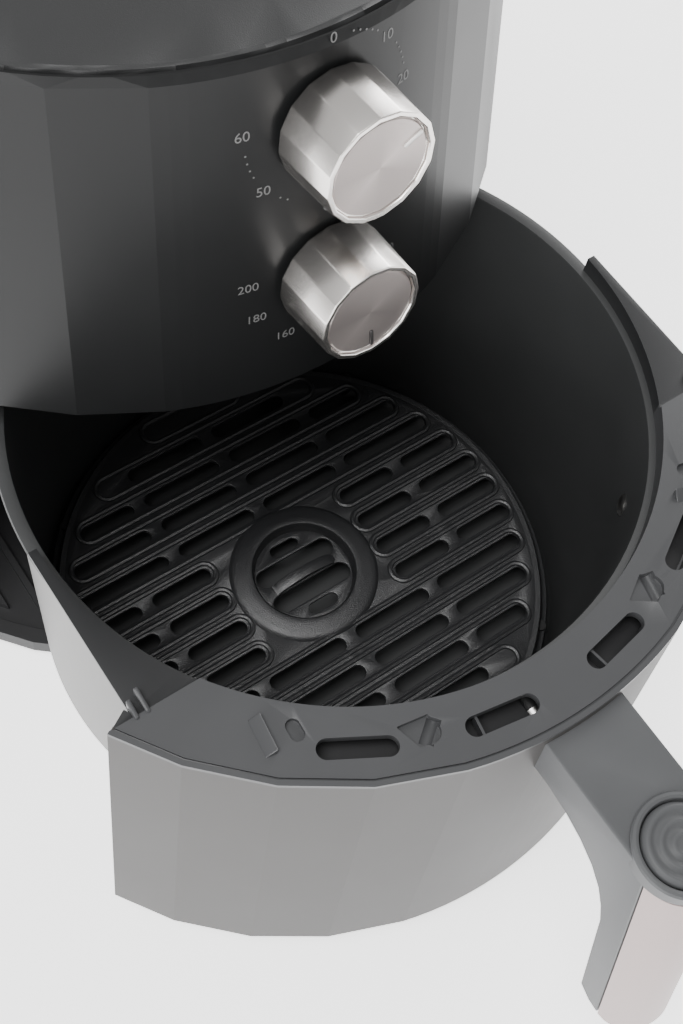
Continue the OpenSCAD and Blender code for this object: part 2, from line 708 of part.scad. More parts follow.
// ---- Handle ----
module grip_slice(z, y, r) {
    translate([0, 0, z]) linear_extrude(0.1) {
        translate([0, y]) circle(r = r, $fn = 32);
        translate([-r, y]) square([2 * r, 9]);
    }
}
module grip(inset, z0, z1) {
    lean = grip_lean / (158 - grip_bottom_z);
    r = handle_w / 2 - inset;
    hull() {
        grip_slice(z1 - 0.1, -handle_reach - lean * (158 - z1), r);
        grip_slice(z0 + 8, -handle_reach - lean * (150 - z0), r);
        grip_slice(z0, -handle_reach - lean * (158 - z0), r - 5);
    }
}
module button_well() {
    translate([0, -handle_reach, 0]) {
        disc(12.2, 154.6, 170);
        disc(7, 141, 170);
    }
}
module handle_shell() {
    top_z = 158;
    color(mid_grey) in_drawer() difference() {
        union() {
            difference() {
                grip(0, grip_bottom_z, top_z);
                plate_volume();
            }
            hull() {
                box(-15, 15, -124, -123, 140, top_z);
                box(-14, 14, -handle_reach + 8, -handle_reach + 8.1, 143, top_z);
            }
            hull() {
                box(-14, 14, -150, -149.9, 141, 145);
                box(-14, 14, -handle_reach - 4, -handle_reach - 3.9, 116, 145);
            }
        }
        facet_cone(panel_bottom_z, panel_top_z, outer_r(panel_bottom_z) + 0.1, outer_r(panel_top_z) + 0.1,
            panel_smooth);
        button_well();
        for (s = [-1, 1]) translate([s * handle_screw_x, -120, handle_screw_z]) rotate([90, 0, 0])
            cylinder(r = screw_r, h = 26);
    }
}
// The space in front of the grip's round side that the metal plate fills
module plate_volume() {
    difference() {
        intersection() {
            grip(0, grip_bottom_z, 154);
            plate_side();
        }
        grip(1.6, grip_bottom_z - 4, 156);
    }
}
module plate_side() {
    lean = grip_lean / (158 - grip_bottom_z);
    translate([-20, 0, 0]) rotate([90, 0, 90]) linear_extrude(40)
        polygon([[-handle_reach - 1, 158], [-handle_reach - 1 - lean * 120, 38],
            [-handle_reach - 80, 38], [-handle_reach - 80, 158]]);
}
module handle_front_plate() {
    color(champagne) in_drawer() plate_volume();
}
module handle_screws() {
    color(steel) in_drawer() for (s = [-1, 1]) translate([s * handle_screw_x, -118.8, handle_screw_z])
        rotate([90, 0, 0]) screw(3.6, 2.4, 20);
}
module release_button() {
    color(mid_grey) in_drawer() translate([0, -handle_reach, 0]) {
        difference() {
            disc(11.9, 157.6, 160.4);
            for (r = [3, 6, 9]) tube(r + 0.6, r - 0.6, 159.8, 162);
        }
        disc(4, 147, 157.6);
    }
}
module button_spring() {
    color(steel) in_drawer() translate([0, -handle_reach, 0]) tube(6.4, 5, 141, 157.6);
}

// ---- Grill plate ----
function row_half(y, edge) = sqrt(pow(edge, 2) - pow(abs(y) + slot_w / 2, 2));
module bar_slot(x0, x1, y) {
    translate([x0 + slot_w / 2, y - slot_w / 2]) square([x1 - x0 - slot_w, slot_w]);
    for (x = [x0 + slot_w / 2, x1 - slot_w / 2]) translate([x, y]) circle(d = slot_w);
}
module grill_slots() {
    edge = grill_r - 3;
    gap = 2.8;
    for (row = [0 : 6], s = [-1, 1]) {
        y = s * (row + 0.5) * row_pitch;
        far = row_half(y, edge);
        mid_x0 = row < 2 ? 31 : gap;
        mid_x1 = row < 2 ? 56 : 36.5;
        for (m = [0, 1]) mirror([m, 0]) {
            if (row < 6) bar_slot(mid_x0, min(mid_x1, far), y);
            if (far > mid_x1 + 16) bar_slot(mid_x1 + 5.5, far, y);
        }
    }
    for (s = [-1, 1]) {
        translate([0, s * 13.4]) square([11, 4], center = true);
        translate([0, s * 5.4]) square([33, 6.4], center = true);
    }
}
module grill_plate() {
    t = 1.5;
    color(black) in_drawer() at_pan() {
        difference() {
            union() {
                translate([0, 0, grill_z - t]) linear_extrude(t) difference() {
                    circle(r = grill_r);
                    grill_slots();
                }
                tube(grill_r, grill_r - t, grill_z - 5.5, grill_z - t);
                tube(97.2, grill_r - t, grill_z - 5.5, grill_z - 4);
            }
            for (a = [45 : 90 : 315]) at_polar(bumper_at, a, 20) cylinder(r = 1.5, h = 12);
        }
        rotate_extrude() translate([24.2, grill_z]) polygon([[-4.4, 0], [-2.4, 2.4], [0, 3], [2.4, 2.4], [4.4, 0]]);
    }
}
module grill_bumpers() {
    color([0.12, 0.12, 0.12]) in_drawer() at_pan() for (a = [45 : 90 : 315]) at_polar(bumper_at, a, 0) {
        disc(1.5, grill_z - 5.5, grill_z - 4);
        disc(2.2, grill_z - 4, grill_z - 2.6);
        disc(2.8, grill_z - 9.5, grill_z - 5.5);
        disc(1.8, pan_floor_z + pan_wall + 2.05, grill_z - 9.5);
    }
}

base_shell();
rubber_feet();
base_screws();
floor_tray();
lower_housing_left();
lower_housing_right();
upper_housing();
top_cover();
cover_screws();
drawer_bay();
inner_deck();
deck_screws();
cooking_chamber();
element_guard();
heating_element();
element_clips();
fan_shroud();
motor_bracket();
motor_housing();
motor_bearings();
motor_screws();
timer_unit();
timer_bell();
thermostat_unit();
thermostat_probe();
terminal_block();
thermal_fuse();
interlock_switch();
rear_vent();
vent_screws();
cord_gland();
hot_air_fan();
fan_nut();
motor_shaft();
motor_rotor();
cooling_fan();
interlock_plunger();
timer_knob();
timer_knob_disc();
timer_pointer();
timer_spindle();
temperature_knob();
temperature_knob_disc();
temperature_pointer();
temperature_spindle();
pan();
pan_rivets();
pan_collar();
front_panel();
panel_frame();
handle_shell();
handle_front_plate();
handle_screws();
release_button();
button_spring();
grill_plate();
grill_bumpers();
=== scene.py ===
import json
import math
import bpy
import bmesh
from mathutils import Matrix, Vector


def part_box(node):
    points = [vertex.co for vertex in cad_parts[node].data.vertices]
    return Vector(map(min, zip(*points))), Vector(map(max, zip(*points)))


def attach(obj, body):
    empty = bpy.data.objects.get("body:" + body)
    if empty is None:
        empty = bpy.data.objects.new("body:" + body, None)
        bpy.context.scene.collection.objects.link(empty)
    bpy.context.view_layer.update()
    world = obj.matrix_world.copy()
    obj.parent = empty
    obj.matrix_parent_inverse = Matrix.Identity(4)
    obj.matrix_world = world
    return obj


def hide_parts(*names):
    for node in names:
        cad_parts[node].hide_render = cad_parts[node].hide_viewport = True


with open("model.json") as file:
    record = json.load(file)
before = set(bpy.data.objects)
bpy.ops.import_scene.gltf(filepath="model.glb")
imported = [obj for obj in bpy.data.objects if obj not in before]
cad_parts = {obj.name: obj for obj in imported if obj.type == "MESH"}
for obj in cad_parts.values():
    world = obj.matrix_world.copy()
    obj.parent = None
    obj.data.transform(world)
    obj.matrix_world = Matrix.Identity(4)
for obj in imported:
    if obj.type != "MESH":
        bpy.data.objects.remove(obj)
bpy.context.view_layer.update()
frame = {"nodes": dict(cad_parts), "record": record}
MM = 0.001


# ---------------------------------------------------------------- places
# Sizes that the CAD part states: the pan's and the motor shaft's places are read back from their nodes' boxes, the rest
# are given as numbers.
def node_box(name):
    low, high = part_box(name)
    return Vector(low), Vector(high)


pan_low, pan_high = node_box("pan")
shaft_low, shaft_high = node_box("motor_shaft")
AXIS_Y = (shaft_low.y + shaft_high.y) / 2
PAN_FORWARD = 0.007
BODY_Y = AXIS_Y + PAN_FORWARD
PAN_Y = (pan_low.y + pan_high.y) / 2
DRAWER_Y = PAN_Y + PAN_FORWARD
PULL = BODY_Y - DRAWER_Y
OPENING_R, OPENING_Z = 0.130, 0.1665
SHOULDER_R, SHOULDER_Z = 0.116, 0.280
BASE_R, BASE_Z = 0.141, 0.012
TILT = math.atan((OPENING_R - SHOULDER_R) / (SHOULDER_Z - OPENING_Z))
TIMER_Z, TEMPERATURE_Z = 0.2585, 0.208
KNOB_R, KNOB_H, KNOB_GAP = 0.016, 0.020, 0.0012
TIMER_ANGLE, TEMPERATURE_ANGLE = 62, 176


def outer_r(z):
    if z > OPENING_Z:
        return OPENING_R - (OPENING_R - SHOULDER_R) * (z - OPENING_Z) / (SHOULDER_Z - OPENING_Z)
    return BASE_R - (BASE_R - OPENING_R) * (z - BASE_Z) / (OPENING_Z - BASE_Z)


# ---------------------------------------------------------------- camera
camera_data = bpy.data.cameras.new("camera")
camera = bpy.data.objects.new("camera", camera_data)
bpy.context.scene.collection.objects.link(camera)
camera_data.lens = 47.154
camera_data.sensor_width = 36
camera_data.shift_x = -0.007
camera.location = (-0.153890, -0.303742 + BODY_Y, 0.503541)
camera.rotation_euler = (math.radians(27.963), math.radians(-5.942), math.radians(-34.675))
bpy.context.scene.camera = camera


# ---------------------------------------------------------------- materials
def grain_group():
    """Fine surface grain: a height for a Bump node and a roughness that drifts over the surface."""
    group = bpy.data.node_groups.new("surface_grain", "ShaderNodeTree")
    face = group.interface
    for name, value in (("Scale", 2000.0), ("Coarse Scale", 30.0), ("Roughness", 0.4), ("Spread", 0.05)):
        face.new_socket(name=name, in_out="INPUT", socket_type="NodeSocketFloat").default_value = value
    face.new_socket(name="Height", in_out="OUTPUT", socket_type="NodeSocketFloat")
    face.new_socket(name="Roughness", in_out="OUTPUT", socket_type="NodeSocketFloat")
    face.new_socket(name="Mask", in_out="OUTPUT", socket_type="NodeSocketFloat")
    nodes, links = group.nodes, group.links
    inlet, outlet = nodes.new("NodeGroupInput"), nodes.new("NodeGroupOutput")
    coords = nodes.new("ShaderNodeTexCoord")
    fine, coarse = nodes.new("ShaderNodeTexNoise"), nodes.new("ShaderNodeTexNoise")
    fine.inputs["Detail"].default_value = 3
    coarse.inputs["Detail"].default_value = 5
    links.new(coords.outputs["Object"], fine.inputs["Vector"])
    links.new(coords.outputs["Object"], coarse.inputs["Vector"])
    links.new(inlet.outputs["Scale"], fine.inputs["Scale"])
    links.new(inlet.outputs["Coarse Scale"], coarse.inputs["Scale"])
    shift = nodes.new("ShaderNodeMath")
    shift.operation = "SUBTRACT"
    shift.inputs[1].default_value = 0.5
    links.new(coarse.outputs["Fac"], shift.inputs[0])
    spread = nodes.new("ShaderNodeMath")
    spread.operation = "MULTIPLY_ADD"
    links.new(shift.outputs[0], spread.inputs[0])
    links.new(inlet.outputs["Spread"], spread.inputs[1])
    links.new(inlet.outputs["Roughness"], spread.inputs[2])
    links.new(fine.outputs["Fac"], outlet.inputs["Height"])
    links.new(spread.outputs[0], outlet.inputs["Roughness"])
    links.new(coarse.outputs["Fac"], outlet.inputs["Mask"])
    return group


GRAIN = grain_group()


def finish_material(name, color, roughness, metallic=0.0, grain=2500, bump=0.05, spread=0.06, tone=0.06,
                    specular=0.5, coat=0.0):
    """A Principled material with fine grain, a drifting roughness and a slight drift of tone."""
    material = bpy.data.materials.new(name)
    material.use_nodes = True
    nodes, links = material.node_tree.nodes, material.node_tree.links
    shader = nodes["Principled BSDF"]
    shader.inputs["Metallic"].default_value = metallic
    shader.inputs["Specular IOR Level"].default_value = specular
    shader.inputs["Coat Weight"].default_value = coat
    shader.inputs["Coat Roughness"].default_value = 0.3
    surface = nodes.new("ShaderNodeGroup")
    surface.node_tree = GRAIN
    surface.inputs["Scale"].default_value = grain
    surface.inputs["Roughness"].default_value = roughness
    surface.inputs["Spread"].default_value = spread
    ramp = nodes.new("ShaderNodeValToRGB")
    ramp.color_ramp.elements[0].position = 0.3
    ramp.color_ramp.elements[1].position = 0.7
    ramp.color_ramp.elements[0].color = [c * (1 - tone) for c in color] + [1]
    ramp.color_ramp.elements[1].color = [min(1, c * (1 + tone)) for c in color] + [1]
    links.new(surface.outputs["Mask"], ramp.inputs["Fac"])
    links.new(ramp.outputs["Color"], shader.inputs["Base Color"])
    links.new(surface.outputs["Roughness"], shader.inputs["Roughness"])
    height = nodes.new("ShaderNodeBump")
    height.inputs["Strength"].default_value = bump
    height.inputs["Distance"].default_value = 0.0003
    links.new(surface.outputs["Height"], height.inputs["Height"])
    links.new(height.outputs["Normal"], shader.inputs["Normal"])
    return material


MATERIALS = {
    "housing_plastic": finish_material("housing_plastic", (0.011, 0.0113, 0.0116), 0.35, bump=0.06, grain=3500,
                                       specular=0.22),
    "cover_plastic": finish_material("cover_plastic", (0.022, 0.0225, 0.023), 0.50, bump=0.16, grain=3000),
    "panel_paint": finish_material("panel_paint", (0.058, 0.0552, 0.0536), 0.44, metallic=0.0, bump=0.05,
                                   grain=4000, tone=0.03, specular=0.16),
    "collar_plastic": finish_material("collar_plastic", (0.052, 0.053, 0.0555), 0.38, bump=0.08, grain=3500),
    # Painted shade: a darker copy of the collar plastic for the lowered ears, standing in for the dark reflection on
    # that glossy plastic.
    "ear_painted_shade": finish_material("ear_painted_shade", (0.022, 0.0225, 0.0235), 0.40, bump=0.12, grain=2500),
    "handle_plastic": finish_material("handle_plastic", (0.088, 0.090, 0.093), 0.42, bump=0.10, grain=3500, specular=0.2),
    "inner_plastic": finish_material("inner_plastic", (0.012, 0.012, 0.013), 0.5),
    "knob_metal": finish_material("knob_metal", (0.92, 0.88, 0.845), 0.24, metallic=1.0, bump=0.03, tone=0.02),
    "handle_metal": finish_material("handle_metal", (0.40, 0.325, 0.315), 0.42, metallic=0.5, bump=0.03,
                                    tone=0.02),
    "pan_coating": finish_material("pan_coating", (0.034, 0.0352, 0.0357), 0.45, bump=0.10, grain=1500,
                                   specular=0.7),
    "pan_outside": finish_material("pan_outside", (0.16, 0.157, 0.154), 0.45, metallic=0.3, bump=0.03,
                                   tone=0.03),
    "grill_coating": finish_material("grill_coating", (0.026, 0.0265, 0.028), 0.30, bump=0.6, grain=2600,
                                     specular=0.8),
    "steel": finish_material("steel", (0.55, 0.55, 0.56), 0.32, metallic=1.0),
    "screw_steel": finish_material("screw_steel", (0.45, 0.44, 0.43), 0.30, metallic=1.0),
    "element_steel": finish_material("element_steel", (0.20, 0.18, 0.17), 0.45, metallic=0.9),
    "motor_steel": finish_material("motor_steel", (0.14, 0.145, 0.155), 0.45, metallic=0.5),
    "bronze": finish_material("bronze", (0.50, 0.31, 0.12), 0.35, metallic=1.0),
    "aluminium_blade": finish_material("aluminium_blade", (0.70, 0.71, 0.72), 0.30, metallic=1.0),
    "rubber": finish_material("rubber", (0.010, 0.010, 0.010), 0.7),
    "silicone": finish_material("silicone", (0.012, 0.012, 0.012), 0.55),
    "white_plastic": finish_material("white_plastic", (0.66, 0.64, 0.58), 0.45),
    "red_plastic": finish_material("red_plastic", (0.20, 0.015, 0.012), 0.45),
    "pointer_light": finish_material("pointer_light", (0.75, 0.73, 0.71), 0.35, metallic=0.5),
    "pointer_dark": finish_material("pointer_dark", (0.03, 0.028, 0.028), 0.4),
    "print_ink": finish_material("print_ink", (0.12, 0.12, 0.12), 0.5),
    "seam_shadow": finish_material("seam_shadow", (0.004, 0.004, 0.004), 0.7),
}


def spun_disc_painted_sheen_material(name, color, centre, tilt):
    """Metal turned in fine rings round the disc's centre, with bright and dark sectors of painted reflection in its
    base colour, standing in for the sheen that such a disc shows.
    """
    material = finish_material(name, color, 0.34, metallic=0.8, bump=0.03, tone=0.01)
    nodes, links = material.node_tree.nodes, material.node_tree.links
    shader = nodes["Principled BSDF"]
    coords = nodes.new("ShaderNodeTexCoord")
    place = nodes.new("ShaderNodeMapping")
    place.vector_type = "TEXTURE"
    place.inputs["Location"].default_value = centre
    place.inputs["Rotation"].default_value = (math.pi / 2 - tilt, 0, 0)
    links.new(coords.outputs["Object"], place.inputs["Vector"])
    rings = nodes.new("ShaderNodeTexWave")
    rings.wave_type = "RINGS"
    rings.rings_direction = "Z"
    rings.inputs["Scale"].default_value = 900
    rings.inputs["Distortion"].default_value = 0.4
    links.new(place.outputs["Vector"], rings.inputs["Vector"])
    height = nodes.new("ShaderNodeBump")
    height.inputs["Strength"].default_value = 0.12
    height.inputs["Distance"].default_value = 0.0002
    links.new(rings.outputs["Fac"], height.inputs["Height"])
    links.new(height.outputs["Normal"], shader.inputs["Normal"])
    # Painted reflection: a radial sweep round the disc's centre lays bright and dark sectors into the base colour.
    painted_sheen_sweep = nodes.new("ShaderNodeTexGradient")
    painted_sheen_sweep.gradient_type = "RADIAL"
    links.new(place.outputs["Vector"], painted_sheen_sweep.inputs["Vector"])
    ramp = nodes.new("ShaderNodeValToRGB")
    painted_sheen_levels = ((0.0, 0.80), (0.12, 1.08), (0.25, 0.86), (0.42, 0.78), (0.60, 1.10), (0.75, 0.88), (1.0, 0.80))
    ramp.color_ramp.elements[0].position = painted_sheen_levels[0][0]
    ramp.color_ramp.elements[1].position = painted_sheen_levels[-1][0]
    for element, (_, level) in zip(ramp.color_ramp.elements, (painted_sheen_levels[0], painted_sheen_levels[-1])):
        element.color = [min(1, c * level) for c in color] + [1]
    for position, level in painted_sheen_levels[1:-1]:
        element = ramp.color_ramp.elements.new(position)
        element.color = [min(1, c * level) for c in color] + [1]
    links.new(painted_sheen_sweep.outputs["Fac"], ramp.inputs["Fac"])
    links.new(ramp.outputs["Color"], shader.inputs["Base Color"])
    return material


for node_name, cad_object in frame["nodes"].items():
    slot_name = next(s["material_slot"] for s in frame["record"]["subparts"] if s["node"] == node_name)
    if node_name == "panel_frame":
        slot_name = "inner_plastic"
    for index in range(len(cad_object.material_slots)):
        cad_object.material_slots[index].material = MATERIALS.get(slot_name, MATERIALS["steel"])


# ---------------------------------------------------------------- modelling helpers
def deselect():
    if bpy.context.object and bpy.context.object.mode != "OBJECT":
        bpy.ops.object.mode_set(mode="OBJECT")
    bpy.ops.object.select_all(action="DESELECT")


def activate(piece):
    deselect()
    piece.select_set(True)
    bpy.context.view_layer.objects.active = piece


def edit(piece):
    activate(piece)
    bpy.ops.object.mode_set(mode="EDIT")


def leave_edit():
    bpy.ops.object.mode_set(mode="OBJECT")


def pick(piece, test, kind="VERT"):
    """Selects the vertices, or the faces, of which test says yes, in edit mode."""
    bpy.ops.mesh.select_mode(type=kind)
    bpy.ops.mesh.select_all(action="DESELECT")
    shape = bmesh.from_edit_mesh(piece.data)
    for part in (shape.verts if kind == "VERT" else shape.edges if kind == "EDGE" else shape.faces):
        part.select = bool(test(part))
    shape.select_flush_mode()
    bmesh.update_edit_mesh(piece.data)


def apply_place(piece):
    activate(piece)
    bpy.ops.object.transform_apply(location=True, rotation=True, scale=True)


def add_modifier(piece, kind, **settings):
    activate(piece)
    modifier = piece.modifiers.new(kind.lower(), kind)
    for key, value in settings.items():
        setattr(modifier, key, value)
    bpy.ops.object.modifier_apply(modifier=modifier.name)


def bevel(piece, width, segments=2, angle=30):
    add_modifier(piece, "BEVEL", width=width, segments=segments, limit_method="ANGLE",
                 angle_limit=math.radians(angle), harden_normals=False)


def cut(piece, tool, operation="DIFFERENCE"):
    add_modifier(piece, "BOOLEAN", object=tool, operation=operation, solver="EXACT")
    bpy.data.objects.remove(tool)


def smooth(piece, angle=30):
    activate(piece)
    bpy.ops.object.shade_smooth_by_angle(angle=math.radians(angle))


def join(pieces):
    deselect()
    for piece in pieces:
        piece.select_set(True)
    bpy.context.view_layer.objects.active = pieces[0]
    bpy.ops.object.join()
    return pieces[0]


def copy_of(piece):
    twin = piece.copy()
    twin.data = piece.data.copy()
    bpy.context.scene.collection.objects.link(twin)
    return twin


def finish(piece, name, body, slot, nodes=(), angle=30, material=None):
    """Names the piece, puts its place in its mesh, gives it the slot's material unless another material or none is
    asked for, puts it under its body, and hides the nodes that it stands for.
    """
    apply_place(piece)
    smooth(piece, angle)
    piece.name = name
    piece.data.name = name
    if material is not False:
        piece.data.materials.clear()
        piece.data.materials.append(material or MATERIALS[slot])
    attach(piece, body)
    if nodes:
        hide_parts(*nodes)
    return piece


def from_node(node):
    """A copy of a CAD node's mesh with its loose triangles merged and its flat faces made whole."""
    piece = copy_of(frame["nodes"][node])
    piece.parent = None
    piece.matrix_world = Matrix.Identity(4)
    piece.hide_render = False
    piece.hide_viewport = False
    edit(piece)
    bpy.ops.mesh.select_all(action="SELECT")
    bpy.ops.mesh.remove_doubles(threshold=0.000002)
    bpy.ops.mesh.dissolve_limited(angle_limit=math.radians(0.6))
    leave_edit()
    return piece


def turned(profile, centre=(0, 0), steps=96, closed=False):
    """A profile of (radius, height) points, drawn by extruding a vertex, spun round an upright axis."""
    deselect()
    first = profile[0]
    bpy.ops.mesh.primitive_plane_add(size=0.001, location=(centre[0] + first[0], centre[1], first[1]))
    piece = bpy.context.object
    bpy.ops.object.mode_set(mode="EDIT")
    bpy.ops.mesh.select_mode(type="VERT")
    bpy.ops.mesh.select_all(action="SELECT")
    bpy.ops.mesh.merge(type="CENTER")
    points = list(profile[1:]) + ([first] if closed else [])
    here = first
    for point in points:
        bpy.ops.mesh.extrude_region_move(
            TRANSFORM_OT_translate={"value": (point[0] - here[0], 0, point[1] - here[1])})
        here = point
    bpy.ops.mesh.select_all(action="SELECT")
    bpy.ops.mesh.spin(steps=steps, angle=2 * math.pi, center=(centre[0], centre[1], 0), axis=(0, 0, 1))
    bpy.ops.mesh.select_all(action="SELECT")
    bpy.ops.mesh.remove_doubles(threshold=0.000001)
    bpy.ops.mesh.normals_make_consistent(inside=False)
    leave_edit()
    apply_place(piece)
    return piece


def stadium(length, width, low, high, x=0.0, y=0.0, around=24):
    """A slot-shaped block: a short cylinder whose two halves are moved apart."""
    deselect()
    bpy.ops.mesh.primitive_cylinder_add(vertices=around, radius=width / 2, depth=high - low,
                                        location=(x, y, (low + high) / 2), rotation=(0, 0, math.pi / around))
    piece = bpy.context.object
    apply_place(piece)
    spread_ends(piece, x, (length - width) / 2)
    return piece


def spread_ends(piece, x, reach):
    edit(piece)
    for side in (-1, 1):
        pick(piece, lambda v: (v.co.x - x) * side > 0)
        bpy.ops.transform.translate(value=(side * reach, 0, 0))
    leave_edit()


def block(low, high):
    deselect()
    centre = [(a + b) / 2 for a, b in zip(low, high)]
    bpy.ops.mesh.primitive_cube_add(size=1, location=centre)
    piece = bpy.context.object
    piece.scale = [b - a for a, b in zip(low, high)]
    apply_place(piece)
    return piece


def to_panel(piece, z):
    """Turns a piece modelled round the world's Z so that it stands out of the control panel at height z."""
    turn = Matrix.Rotation(math.pi / 2 - TILT, 4, "X")
    piece.matrix_world = Matrix.Translation((0, BODY_Y - outer_r(z), z)) @ turn @ piece.matrix_world
    apply_place(piece)


# ---------------------------------------------------------------- body
def make_body():
    housing = from_node("upper_housing")
    cut(housing, from_node("lower_housing_left"), "UNION")
    cut(housing, from_node("lower_housing_right"), "UNION")
    finish(housing, "housing", "housing", "housing_plastic", ["upper_housing", "lower_housing_left", "lower_housing_right"],
           angle=4.5)
    cover = from_node("top_cover")
    finish(cover, "cover", "housing", "cover_plastic", ["top_cover"], angle=12)
    base = from_node("base_shell")
    bevel(base, 0.0006, 2, 40)
    finish(base, "base", "housing", "inner_plastic", ["base_shell"], angle=8)


# ---------------------------------------------------------------- knobs
def make_knob(name, body, z, twist, slot_of_pointer):
    deselect()
    bpy.ops.mesh.primitive_cylinder_add(vertices=16, radius=KNOB_R / 0.96, depth=KNOB_H,
                                        location=(0, 0, KNOB_GAP + KNOB_H / 2))
    knob = bpy.context.object
    apply_place(knob)
    top = KNOB_GAP + KNOB_H
    edit(knob)
    pick(knob, lambda v: v.co.z > top - 1e-5)
    bpy.ops.transform.resize(value=(0.96, 0.96, 1))
    pick(knob, lambda f: f.normal.z > 0.9, "FACE")
    bpy.ops.mesh.inset(thickness=0.0016)
    bpy.ops.mesh.extrude_region_move(TRANSFORM_OT_translate={"value": (0, 0, -0.001)})
    leave_edit()
    bevel(knob, 0.00035, 2, 12)
    knob.matrix_world = Matrix.Rotation(math.radians(-twist), 4, "Z")
    apply_place(knob)
    to_panel(knob, z)
    finish(knob, name + "_body", body, "knob_metal", [name], angle=18)
    face = top - 0.0009
    disc = turned([(0.0, face - 0.0004), (0.0135, face - 0.0004), (0.0138, face - 0.0002), (0.0138, face),
                   (0.0134, face + 0.00035), (0.0, face + 0.00035)], steps=64)
    to_panel(disc, z)
    centre = (0, BODY_Y - outer_r(z), z)
    # The face's material has painted reflection sectors in its base colour.
    metal = spun_disc_painted_sheen_material(name + "_spun_painted_sheen", (0.47, 0.42, 0.405), centre, TILT)
    finish(disc, name + "_face", body, "knob_face_metal", [name + "_disc"], angle=30, material=metal)
    pointer = stadium(0.0060, 0.0012, face + 0.0002, face + 0.0009, around=12)
    bevel(pointer, 0.0002, 2, 40)
    pointer.matrix_world = (Matrix.Rotation(math.radians(-twist), 4, "Z") @ Matrix.Translation((0, 0.0104, 0))
                            @ Matrix.Rotation(math.pi / 2, 4, "Z"))
    apply_place(pointer)
    to_panel(pointer, z)
    finish(pointer, body + "_mark", body, slot_of_pointer, [body + "_pointer"], angle=40)


def panel_point(z_mid, radius, angle, lift=0.00004):
    """A point on the curved control panel, that far from a knob's axis, clockwise from straight up."""
    x = radius * math.sin(math.radians(angle))
    z = z_mid + radius * math.cos(math.radians(angle))
    r = outer_r(z) + lift
    turn = math.asin(x / r)
    return Vector((x, BODY_Y - r * math.cos(turn), z)), turn


def make_print(name, z_mid, labels, dots):
    """Printed numbers and dots round a knob, as thin raised ink on the panel."""
    pieces = []
    for text, radius, angle, size in labels:
        deselect()
        bpy.ops.object.text_add()
        letter = bpy.context.object
        letter.data.body = text
        letter.data.size = size
        letter.data.align_x = "CENTER"
        letter.data.align_y = "CENTER"
        letter.data.extrude = 0.00003
        letter.data.resolution_u = 4
        bpy.ops.object.convert(target="MESH")
        letter = bpy.context.object
        place, turn = panel_point(z_mid, radius, angle)
        letter.matrix_world = (Matrix.Translation(place) @ Matrix.Rotation(turn, 4, "Z")
                               @ Matrix.Rotation(math.pi / 2 - TILT, 4, "X"))
        apply_place(letter)
        pieces.append(letter)
    for radius, angle in dots:
        deselect()
        bpy.ops.mesh.primitive_cylinder_add(vertices=12, radius=0.00028, depth=0.00008)
        dot = bpy.context.object
        place, turn = panel_point(z_mid, radius, angle)
        dot.matrix_world = (Matrix.Translation(place) @ Matrix.Rotation(turn, 4, "Z")
                            @ Matrix.Rotation(math.pi / 2 - TILT, 4, "X"))
        apply_place(dot)
        pieces.append(dot)
    print_piece = join(pieces)
    finish(print_piece, name, "housing", "pointer_light", angle=30, material=MATERIALS["print_ink"])


def make_controls():
    make_knob("timer_knob", "timer", TIMER_Z, TIMER_ANGLE, "pointer_light")
    make_knob("temperature_knob", "temperature", TEMPERATURE_Z, TEMPERATURE_ANGLE, "pointer_dark")
    size = 0.0042
    timer = [("0", 0.0235, 0, size), ("10", 0.0235, 45, size), ("20", 0.0235, 88, size),
             ("30", 0.0235, 134, size), ("50", 0.0245, 232, size), ("60", 0.0245, 278, size)]
    dots = [(0.0238, a) for a in (14, 19, 24, 29, 34, 57, 62, 67, 72, 77, 101, 107, 113, 119, 218, 212, 246, 252,
                                  258, 264)]
    make_print("timer_scale", TIMER_Z, timer, dots)
    temperature = [("0", 0.0225, -2, size), ("80", 0.0235, 62, size), ("100", 0.0235, 110, size),
                   ("120", 0.0235, 146, size), ("160", 0.0245, 214, size), ("180", 0.0245, 246, size),
                   ("200", 0.0245, 276, size)]
    dots = [(0.0236, 12 + 4 * i) for i in range(9)]
    make_print("temperature_scale", TEMPERATURE_Z, temperature, dots)


